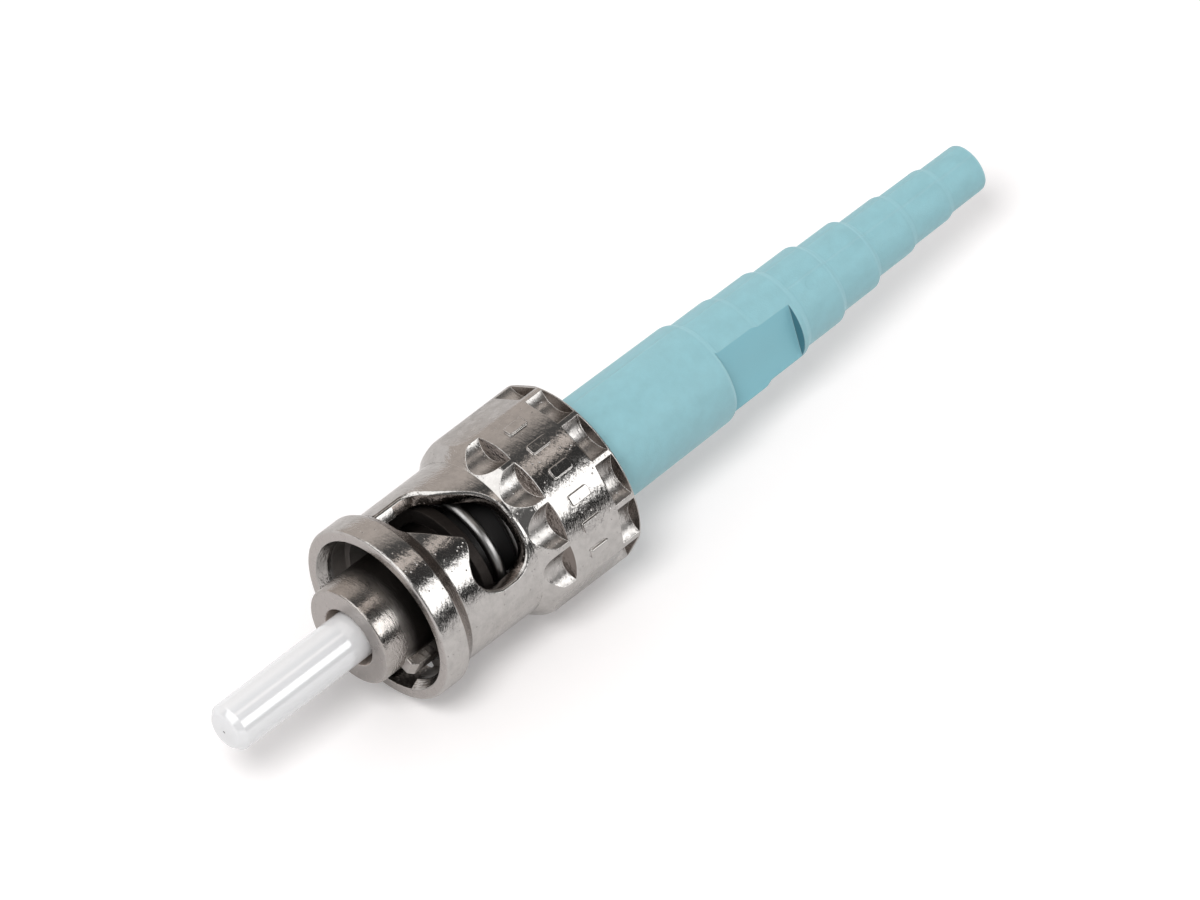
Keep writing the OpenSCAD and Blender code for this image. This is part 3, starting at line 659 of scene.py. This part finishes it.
# %% Turned shapes
def turned(name, profile, sides=192):
    """A closed shape of revolution round X, through the points (x, radius) of a profile."""
    x, r = profile[0]
    bpy.ops.object.select_all(action="DESELECT")
    bpy.ops.mesh.primitive_circle_add(vertices=sides, radius=r, location=(x, 0, 0),
                                      rotation=(0, math.pi / 2, 0))
    piece = bpy.context.object
    piece.name = name
    bpy.ops.object.transform_apply()
    edit(piece)
    for (x0, r0), (x1, r1) in zip(profile, profile[1:] + profile[:1]):
        bpy.ops.mesh.extrude_region_move(TRANSFORM_OT_translate={"value": (x1 - x0, 0, 0)})
        bpy.ops.transform.resize(value=(1, r1 / r0, r1 / r0), center_override=(x1, 0, 0))
    bpy.ops.mesh.select_all(action="SELECT")
    bpy.ops.mesh.remove_doubles(threshold=1e-4)
    bpy.ops.mesh.normals_make_consistent(inside=False)
    bpy.ops.object.mode_set(mode="OBJECT")
    return piece


def rounded(corners, steps=4):
    """A profile with round corners, from (x, radius, how far back the curve starts)."""
    out = []
    for i, (x, r, back) in enumerate(corners):
        here = Vector((x, r))
        if not back:
            out.append((x, r))
            continue
        ends = []
        for other in (corners[i - 1], corners[(i + 1) % len(corners)]):
            line = Vector(other[:2]) - here
            ends.append(here + line.normalized() * min(back, line.length * 0.49))
        for k in range(steps + 1):
            t = k / steps
            out.append(tuple(ends[0] * (1 - t) ** 2 + here * 2 * t * (1 - t) + ends[1] * t * t))
    return out


# %% [markdown]
# Cutters start as a block or a round bar, at their size and place. The other helpers turn,
# copy, cut and join pieces. A cut is a Boolean modifier with the exact solver, which copes with
# thin walls, and its tool is removed afterwards.

# %% Blocks and bars
def block(middle, size):
    """A block with these sizes along X, Y and Z."""
    bpy.ops.object.select_all(action="DESELECT")
    bpy.ops.mesh.primitive_cube_add(size=1, location=middle, scale=size)
    bpy.ops.object.transform_apply()
    return bpy.context.object


def round_bar(middle, radius, length, sides):
    """A round bar that lies along X."""
    bpy.ops.object.select_all(action="DESELECT")
    bpy.ops.mesh.primitive_cylinder_add(vertices=sides, radius=radius, depth=length,
                                        rotation=(0, math.pi / 2, 0), location=middle)
    bpy.ops.object.transform_apply()
    return bpy.context.object


# %% Copies, cuts and joins
def turn_about_x(piece, degrees):
    """Turns a piece round the connector's axis, from +Y towards +Z."""
    piece.rotation_euler = (math.radians(degrees), 0, 0)
    only(piece)
    bpy.ops.object.transform_apply(location=False, rotation=True, scale=False)


def twin(piece):
    """A copy of a piece with its own mesh."""
    only(piece)
    bpy.ops.object.duplicate(linked=False)
    return bpy.context.object


def combine(piece, tool, how):
    """Cuts a tool out of a piece, or adds it, and removes the tool."""
    apply_modifier(piece, "BOOLEAN", operation=how, solver="EXACT", object=tool)
    bpy.data.objects.remove(tool)


def join(pieces):
    """One piece from several, which may lie apart."""
    only(*pieces)
    bpy.ops.object.join()
    return bpy.context.object


# %% [markdown]
# A finished piece is shrunk, and edges flatter than a limit are shaded smooth. Then it gets its
# finish, is told which part of the frame it rides on, and takes the place of that solid.

# %% Dress a finished piece
SMOOTH_BELOW = math.radians(28)


def dress(piece, finish, body, slot, *nodes):
    """Shrinks a piece to metres, gives it its finish and its place in the frame."""
    piece.scale = (MM, MM, MM)
    only(piece)
    bpy.ops.object.transform_apply()
    bpy.ops.object.shade_smooth_by_angle(angle=SMOOTH_BELOW)
    piece.data.materials.clear()
    piece.data.materials.append(finish)
    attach(piece, body)
    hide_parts(*nodes)
    print(f"{piece.name}: {len(piece.data.polygons)} faces, rides on {body}")


# %% [markdown]
# ## Coupling nut: sizes
# The nut is the piece that people turn. It is a zinc die casting with a bright nickel plate:
# a front flange, a sleeve with two bayonet slots, and a scalloped grip. The sizes are those of
# the frame, in millimetres, with x running forward from the barrel's front edge.

# %% Nut sizes
NUT_R, BORE_R = 4.25, 3.55
NUT_FRONT, NUT_BACK = -1.9, -14.55
FLANGE_R, FLANGE_BACK, FLANGE_BORE_R, MOUTH_R = 4.75, -3.65, 3.87, 4.15
GRIP_R, GRIP_FRONT, GRIP_SLOPE = 4.9, -8.6, 0.9
WALL_FRONT, WALL_BACK, WALL_HOLE_R, RECESS_R = -12.6, -13.4, 2.15, 3.2
SLOT_ANGLE, GRIP_ANGLE, LUG_W = 110, 54, 1.8
LUG_HALF = math.degrees(math.asin(LUG_W / (2 * NUT_R)))
print(f"nut {NUT_FRONT - NUT_BACK:.2f} mm long, {2 * GRIP_R:.1f} mm across its grip")

# %% [markdown]
# ## Coupling nut: blanks
# The casting is made as three turned blanks. One outline for all of it would be quicker, but
# each blank can be cut on its own, and the cuts of one never touch the others. The slope
# between sleeve and flange is made twice at slightly different heights, because two faces in
# exactly one plane confuse a Boolean.

# %% Nut: flange, sleeve and drum
FLANGE_RISE, SLEEVE_RISE = 0.232, 0.228

flange = turned("flange", rounded([
    (NUT_FRONT, MOUTH_R, 0.05), (NUT_FRONT, FLANGE_R, 0.2), (FLANGE_BACK + 0.38, FLANGE_R, 0.1),
    (FLANGE_BACK, NUT_R + FLANGE_RISE, 0), (FLANGE_BACK, BORE_R + 0.1, 0),
    (FLANGE_BACK + 0.1, FLANGE_BORE_R, 0), (NUT_FRONT - 0.5, FLANGE_BORE_R, 0)]))
sleeve = turned("sleeve", rounded([
    (FLANGE_BACK + 0.12, BORE_R, 0), (FLANGE_BACK + 0.12, NUT_R + SLEEVE_RISE, 0),
    (FLANGE_BACK, NUT_R + SLEEVE_RISE, 0), (FLANGE_BACK - 0.32, NUT_R, 0.14),
    (GRIP_FRONT - 0.6, NUT_R, 0), (GRIP_FRONT - 0.6, BORE_R, 0)]))
drum = turned("drum", rounded([
    (GRIP_FRONT, BORE_R, 0), (GRIP_FRONT, NUT_R - 0.05, 0), (GRIP_FRONT - GRIP_SLOPE, GRIP_R, 0.2),
    (NUT_BACK + 0.1, GRIP_R, 0.04), (NUT_BACK, GRIP_R - 0.1, 0.04), (NUT_BACK, RECESS_R, 0.1),
    (WALL_BACK, RECESS_R, 0.05), (WALL_BACK, WALL_HOLE_R, 0.05),
    (WALL_FRONT, WALL_HOLE_R, 0.05), (WALL_FRONT, BORE_R, 0)]))
for blank in (flange, sleeve, drum):
    print(f"{blank.name}: {blank.dimensions.x:.2f} mm long, {blank.dimensions.y:.2f} mm across")

# %% [markdown]
# ## Bayonet slots
# Each slot is a ramp, a crest and a round seat for one lug of the adapter. Its two long edges
# are smooth curves, given as turn in degrees and distance behind the nut's front face. Round
# and straight cutters in a row could make it, but they would leave steps along the ramp, where
# a curve through a few points stays smooth.

# %% Slot edges
FRONT_EDGE = [(LUG_HALF - 3, 1.5), (26.4, 2.739), (38.7, 3.65), (44, 4.05), (51, 3.95),
              (60, 3.50), (70, 3.32), (80, 3.60), (85, 4.02), (88, 4.52)]
BACK_EDGE = [(-LUG_HALF, 3.6), (-LUG_HALF * 0.7, 4.1), (4, 4.6), (17, 5.4), (24, 5.88),
             (32, 6.25), (41, 6.45), (52, 6.5), (63, 6.5), (75.5, 6.37), (83, 6.02),
             (86.5, 5.6), (88, 5.2)]
SLOT_TURN, CREST_TURN = 88, 44


def curve_at(points, a):
    """Height of the smooth curve through the points at turn a."""
    def slope(i):
        lo, hi = max(i - 1, 0), min(i + 1, len(points) - 1)
        return (points[hi][1] - points[lo][1]) / (points[hi][0] - points[lo][0])
    i = 0
    while i < len(points) - 2 and a > points[i + 1][0]:
        i += 1
    w = points[i + 1][0] - points[i][0]
    t = (a - points[i][0]) / w
    return ((2 * t**3 - 3 * t**2 + 1) * points[i][1] + (t**3 - 2 * t**2 + t) * w * slope(i)
            + (3 * t**2 - 2 * t**3) * points[i + 1][1] + (t**3 - t**2) * w * slope(i + 1))


at_crest = curve_at(BACK_EDGE, CREST_TURN) - curve_at(FRONT_EDGE, CREST_TURN)
print(f"the slot turns {SLOT_TURN} degrees and is {at_crest:.2f} mm wide at its crest")

# %% [markdown]
# A flat strip of faces is raised layer by layer and then bent round the sleeve between both
# curves. Its outer layers flare a little, and so the cut gets the soft lip of a casting.

# %% Slot cutter
LIP = [(3.1, 0), (3.6, 0), (4.06, 0.02), (4.15, 0.05), (4.215, 0.10), (4.265, 0.16),
       (5.2, 0.16)]                                 # radius, and how far the layer flares


def slot_cutter(steps=72):
    """A strip laid out flat, raised layer by layer, then bent round the X axis."""
    bpy.ops.object.select_all(action="DESELECT")
    bpy.ops.mesh.primitive_grid_add(x_subdivisions=1, y_subdivisions=steps, size=1)
    piece = bpy.context.object
    edit(piece)
    for _ in LIP[1:]:
        bpy.ops.mesh.extrude_region_move(TRANSFORM_OT_translate={"value": (0, 0, 1)})
    bpy.ops.object.mode_set(mode="OBJECT")
    for v in piece.data.vertices:
        r, flare = LIP[round(v.co.z)]
        along = v.co.y + 0.5
        turn = -LUG_HALF + along * (SLOT_TURN + LUG_HALF)
        if v.co.x > 0:
            edge = curve_at(FRONT_EDGE, max(turn, LUG_HALF - 3)) - flare
        else:
            edge = curve_at(BACK_EDGE, turn) + flare
        grow = math.degrees(flare / NUT_R)
        turn = -LUG_HALF - grow + along * (SLOT_TURN + LUG_HALF + 2 * grow)
        a = math.radians(-turn)
        v.co = (NUT_FRONT - edge, r * math.cos(a), r * math.sin(a))
    edit(piece)
    bpy.ops.mesh.normals_make_consistent(inside=False)
    bpy.ops.object.mode_set(mode="OBJECT")
    return piece


slot_a = slot_cutter()
slot_b = twin(slot_a)
turn_about_x(slot_a, SLOT_ANGLE)
turn_about_x(slot_b, SLOT_ANGLE + 180)
combine(sleeve, slot_a, "DIFFERENCE")
combine(sleeve, slot_b, "DIFFERENCE")
print(f"sleeve with two slots: {len(sleeve.data.polygons)} faces")

# %% [markdown]
# ## Lug groove
# A straight groove across the flange's mouth lets the adapter's two lugs in. A plain block
# would leave square ends, so the block is first trimmed by a round bar of the mouth's size.

# %% Groove
GROOVE_L = 3

middle = (FLANGE_BACK + GROOVE_L / 2, 0, 0)
groove = round_bar(middle, MOUTH_R, GROOVE_L, sides=128)
combine(groove, block(middle, (GROOVE_L + 0.2, 12, LUG_W)), "INTERSECT")
turn_about_x(groove, SLOT_ANGLE)
combine(flange, groove, "DIFFERENCE")
print(f"flange with a groove {LUG_W} mm wide: {len(flange.data.polygons)} faces")

# %% [markdown]
# ## Grip
# Four hollows on each side, front and rear, give the fingers a hold. Each is what a round bar
# leaves when it is laid beside the drum, and its end wall leans a little, so that the casting
# leaves its mould. Two pairs of flats lie between the scalloped sides.

# %% Scallop sizes
SCALLOPS, PITCH, SCALLOP_W, SCALLOP_DEPTH, LEAN, RIM = 4, 29, 2.2, 0.62, 0.36, 0.12
FRONT_L, REAR_L, FLAT_SHARE = 1.7, 1.3, 0.9
floor_r = GRIP_R - SCALLOP_DEPTH
sag = GRIP_R * math.cos(math.asin(SCALLOP_W / (2 * GRIP_R))) - floor_r
bar_r = SCALLOP_W**2 / (8 * sag) + sag / 2
bar_at = floor_r + bar_r
flat_half = (180 - SCALLOPS * PITCH) / 4
flat_at = GRIP_R * math.cos(math.radians(flat_half * FLAT_SHARE))
print(f"scallops: a bar {2 * bar_r:.2f} mm thick, {SCALLOP_DEPTH} mm deep, every {PITCH} degrees")

# %% Scallop cutter
def scallop_cutter(ahead, lean_ahead, behind, lean_behind, direction):
    """A round bar beside the drum between two end walls that lean towards each other."""
    piece = round_bar(((ahead + behind) / 2, bar_at, 0), bar_r, ahead - behind, sides=96)
    for v in piece.data.vertices:
        depth = (GRIP_R - v.co.y) / SCALLOP_DEPTH
        v.co.x += depth * (lean_behind if v.co.x < (ahead + behind) / 2 else -lean_ahead)
    turn_about_x(piece, direction)
    return piece


# %% Scallops and flats
FLAT_MID, FLAT_BLOCK = -12, (8, 2, 5)
cutters = []
for side in (0, 180):
    hollows = [GRIP_ANGLE + side + (i - (SCALLOPS - 1) / 2) * PITCH for i in range(SCALLOPS)]
    flats = [GRIP_ANGLE + 90 + side + s * flat_half for s in (-1, 1)]
    for direction in hollows:
        cutters.append(scallop_cutter(GRIP_FRONT + 1, 0, GRIP_FRONT - FRONT_L, LEAN, direction))
    for direction in hollows + flats:
        cutters.append(scallop_cutter(NUT_BACK + REAR_L, LEAN, NUT_BACK + RIM, RIM, direction))
    for direction in flats:
        one = block((FLAT_MID, flat_at + FLAT_BLOCK[1] / 2, 0), FLAT_BLOCK)
        turn_about_x(one, direction)
        cutters.append(one)
for one in cutters:
    combine(drum, one, "DIFFERENCE")
print(f"drum: {len(drum.data.polygons)} faces")

# %% [markdown]
# ## Bars
# Between the two rows of hollows runs a row of low raised bars, for the thumb. An array could
# repeat one bar, but each is only a block with its four upright edges rounded, sunk into the
# drum, and a loop turns it to its place.

# %% Bars
BARS, BAR_PITCH, BAR_L, BAR_W, BAR_H = 6, 18, 1.15, 0.55, 0.12
BAR_SUNK, BAR_CORNER = 0.3, 0.11
band_mid = (GRIP_FRONT - FRONT_L + NUT_BACK + REAR_L) / 2
bars = []
for side in (0, 180):
    for i in range(BARS):
        one = block((band_mid, GRIP_R - BAR_SUNK / 2 + BAR_H / 2, 0),
                    (BAR_L, BAR_SUNK + BAR_H, BAR_W))
        edit(one)
        bpy.ops.mesh.select_all(action="DESELECT")
        bpy.ops.object.mode_set(mode="OBJECT")
        for e in one.data.edges:
            a, b = (one.data.vertices[k].co for k in e.vertices)
            e.select = abs(a.x - b.x) < 1e-4 and abs(a.z - b.z) < 1e-4
        bpy.ops.object.mode_set(mode="EDIT")
        bpy.ops.mesh.select_mode(type="EDGE")
        bpy.ops.mesh.bevel(offset=BAR_CORNER, segments=4, affect="EDGES")
        bpy.ops.object.mode_set(mode="OBJECT")
        turn_about_x(one, GRIP_ANGLE + side + (i - (BARS - 1) / 2) * BAR_PITCH)
        bars.append(one)
combine(drum, join(bars), "UNION")
print(f"drum with {2 * BARS} bars: {len(drum.data.polygons)} faces")

# %% [markdown]
# ## Coupling nut: one casting
# The three blanks become one closed mesh, as the real nut is one casting, so that no seam can
# show between them. It slides and turns with the frame's nut.

# %% Nut: one casting
combine(sleeve, drum, "UNION")
combine(sleeve, flange, "UNION")
nut = sleeve
nut.name = "nut_casting"
dress(nut, nickel_cast, "nut", "nut_nickel", "coupling_nut")

# %% [markdown]
# ## Keyed barrel
# The barrel slides into the adapter round the ferrule. It is a turned tube with a collar that
# the spring pushes on, and a key that sets its angle. The tube comes from its outline.

# %% Barrel tube
BARREL_R, BARREL_HOLE_R, HOLDER_R, HOLDER_FRONT = 2.625, 1.55, 2.01, -2
COLLAR_R, COLLAR_FRONT, COLLAR_BACK = 3.4, -5.9, -6.5

barrel = turned("barrel_with_key", rounded([
    (0, BARREL_HOLE_R, 0.06), (0, BARREL_R, 0.17), (COLLAR_FRONT, BARREL_R, 0),
    (COLLAR_FRONT, COLLAR_R, 0.06), (COLLAR_BACK, COLLAR_R, 0.06), (COLLAR_BACK, HOLDER_R, 0),
    (HOLDER_FRONT, HOLDER_R, 0), (HOLDER_FRONT, BARREL_HOLE_R, 0.03)]))
print(f"barrel tube: {len(barrel.data.polygons)} faces")

# %% [markdown]
# The key is a small block on the barrel. Bisect slopes its front, which leads it into the
# adapter, a bevel rounds all its edges, and then it becomes one with the tube.

# %% Barrel key
KEY_ANGLE, KEY_MID, KEY_SIZE = -18, -3.56, (4.72, 0.8, 1.0)
SLOPE_AT = (-1.45, BARREL_R + 0.6, 0)

key = block((KEY_MID, BARREL_R + 0.2, 0), KEY_SIZE)
edit(key)
bpy.ops.mesh.bisect(plane_co=SLOPE_AT, plane_no=(1, 1, 0), use_fill=True, clear_outer=True)
bpy.ops.object.mode_set(mode="OBJECT")
apply_modifier(key, "BEVEL", width=0.07, segments=3, limit_method="NONE")
turn_about_x(key, KEY_ANGLE)
combine(barrel, key, "UNION")
dress(barrel, nickel_turned, "connector_body", "barrel_nickel", "keyed_barrel")

# %% [markdown]
# ## Ferrule
# The ferrule is a ceramic cylinder, ground and polished, with a chamfer that leads it into the
# adapter's sleeve and a slightly domed tip. The fibre lies in its middle. A plain cylinder
# would lose the chamfer, which catches the light, so the ferrule is turned from its outline.

# %% Ferrule
FERRULE_R, FERRULE_ROOT_R, FERRULE_HOLE_R = 1.25, 1.08, 0.0635
FERRULE_BACK, FERRULE_ROOT, CHAMFER, FERRULE_TIP = -4.6, -2.0, 7.78, 8.2

ferrule = turned("ceramic_ferrule", rounded([
    (FERRULE_BACK, FERRULE_HOLE_R, 0), (FERRULE_BACK, FERRULE_ROOT_R, 0.1),
    (FERRULE_ROOT, FERRULE_ROOT_R, 0), (FERRULE_ROOT, FERRULE_R, 0.03),
    (CHAMFER, FERRULE_R, 0.05), (8.12, 0.94, 0.12), (8.19, 0.35, 0.2),
    (FERRULE_TIP, FERRULE_HOLE_R, 0)], steps=6), sides=128)
print(f"ferrule {FERRULE_TIP - FERRULE_BACK:.1f} mm long, {2 * FERRULE_R} mm across")
dress(ferrule, zirconia, "connector_body", "ferrule_ceramic", "ferrule")

# %% [markdown]
# ## Spring
# A round steel wire, wound with two open turns between closed ends, pushes the nut back. A
# Screw modifier winds with one pitch only, so the centre line is a curve that is given point
# by point, with a round bevel for the wire.

# %% Spring's centre line
WIRE_D, OPEN_TURNS, SPRING_R, SPRING_FROM, SPRING_TO = 0.6, 2, 3.0, -6.5, -12.15
POINTS_A_TURN, WIRE_STARTS = 64, 150


def wire_x(t):
    """How far along the axis the wire is after t turns: closed, open, open, closed."""
    closed = WIRE_D + 0.01
    first, last = SPRING_FROM - WIRE_D / 2 - 0.02, SPRING_TO + WIRE_D / 2 + 0.02
    pitch = (first - last - 2 * closed) / OPEN_TURNS
    if t < 1:
        return first - closed * t
    if t < 1 + OPEN_TURNS:
        return first - closed - pitch * (t - 1)
    return last + closed * (2 + OPEN_TURNS - t)


coil = bpy.data.curves.new("coil", "CURVE")
coil.dimensions = "3D"
line = coil.splines.new("POLY")
line.points.add((OPEN_TURNS + 2) * POINTS_A_TURN)
for i, point in enumerate(line.points):
    a = math.radians(WIRE_STARTS + 360 * i / POINTS_A_TURN)
    point.co = (wire_x(i / POINTS_A_TURN), SPRING_R * math.cos(a), SPRING_R * math.sin(a), 1)
print(f"{len(line.points)} points, the last at x = {line.points[-1].co.x:.2f} mm")

# %% Spring
coil.bevel_depth, coil.bevel_resolution, coil.use_fill_caps = WIRE_D / 2, 6, True
spring = bpy.data.objects.new("return_spring", coil)
bpy.context.scene.collection.objects.link(spring)
only(spring)
bpy.ops.object.convert(target="MESH")
spring = bpy.context.object
dress(spring, spring_steel, "connector_body", "spring_steel", "spring")
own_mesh(spring)

# %% [markdown]
# ## Boot
# The boot is moulded in soft aqua rubber. It steps down in seven rings, so that it bends more
# and more easily towards the cable. Each ring ends in a soft shoulder. Seven tubes in a row
# would leave seams, so one outline runs over all the rings and back through the bore.

# %% Boot
BOOT_R, BOOT_FRONT, BOOT_FIRST, STEP, SHOULDER = 2.85, -14.15, -22.9, 2.62, 0.35
BORES = [(-22.2, 2.41), (-26.7, 1.67)]              # where each wide bore ends, and its radius
CABLE_R = 0.55
RINGS = [2.55, 2.4, 2.19, 1.91, 1.61, 1.44, 1.28]
BOOT_END = BOOT_FIRST - STEP * len(RINGS)
outside = [(BOOT_FRONT, BOOT_R, 0.15), (BOOT_FIRST, BOOT_R - 0.1, 0.14)]
for i, r in enumerate(RINGS):
    x = BOOT_FIRST - i * STEP
    outside.append((x - SHOULDER, r, 0.1))
    outside.append((x - STEP, r - 0.02, 0.3 if r == RINGS[-1] else 0.13))
(wide_end, wide_r), (narrow_end, narrow_r) = BORES
inside = [(BOOT_END, CABLE_R, 0.08), (narrow_end, CABLE_R, 0), (narrow_end, narrow_r, 0),
          (wide_end, narrow_r, 0), (wide_end, wide_r, 0)]
boot = turned("stepped_boot", rounded([(BOOT_FRONT, wide_r, 0)] + outside + inside))
print(f"boot {BOOT_FRONT - BOOT_END:.1f} mm long in {len(RINGS)} rings")

# %% [markdown]
# Two flats are pressed into the boot's sides, where finger and thumb hold it. Each is what a
# block leaves when it is cut out of the rings.

# %% Boot flats
POCKET_FRONT, POCKET_BACK, POCKET_DEEP, POCKET_W = BOOT_FIRST - 0.175, -27.89, 3, 6
FLAT_R = 1.8

for side in (0, 180):
    pocket = block(((POCKET_FRONT + POCKET_BACK) / 2, FLAT_R + POCKET_DEEP / 2, 0),
                   (POCKET_FRONT - POCKET_BACK, POCKET_DEEP, POCKET_W))
    turn_about_x(pocket, FLAT_ANGLE + side)
    combine(boot, pocket, "DIFFERENCE")
dress(boot, boot_rubber, "connector_body", "boot_rubber", "boot")

# %% [markdown]
# ## The hidden pieces
# Washer, snap ring, holder, splice, cam, lead-in tube, crimp ring and fibre keep the frame's
# own solids. They show only from behind or through a gap, so new shapes would add nothing, but
# finishes do. The holder's finish, also on the lead-in tube, is near black as painted shade.

# %% Finishes on the frame's own pieces
for node, finish in (("thrust_washer", ring_steel), ("snap_ring", ring_steel),
                     ("ferrule_holder", holder_plastic), ("lead_in_tube", holder_plastic),
                     ("splice_base", splice_plastic), ("splice_keel", splice_plastic),
                     ("cam_sleeve", cam_plastic), ("crimp_ring", crimp_tin), ("fibre_stub", glass)):
    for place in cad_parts[node].material_slots:
        place.material = finish
    print(node, "->", finish.name)
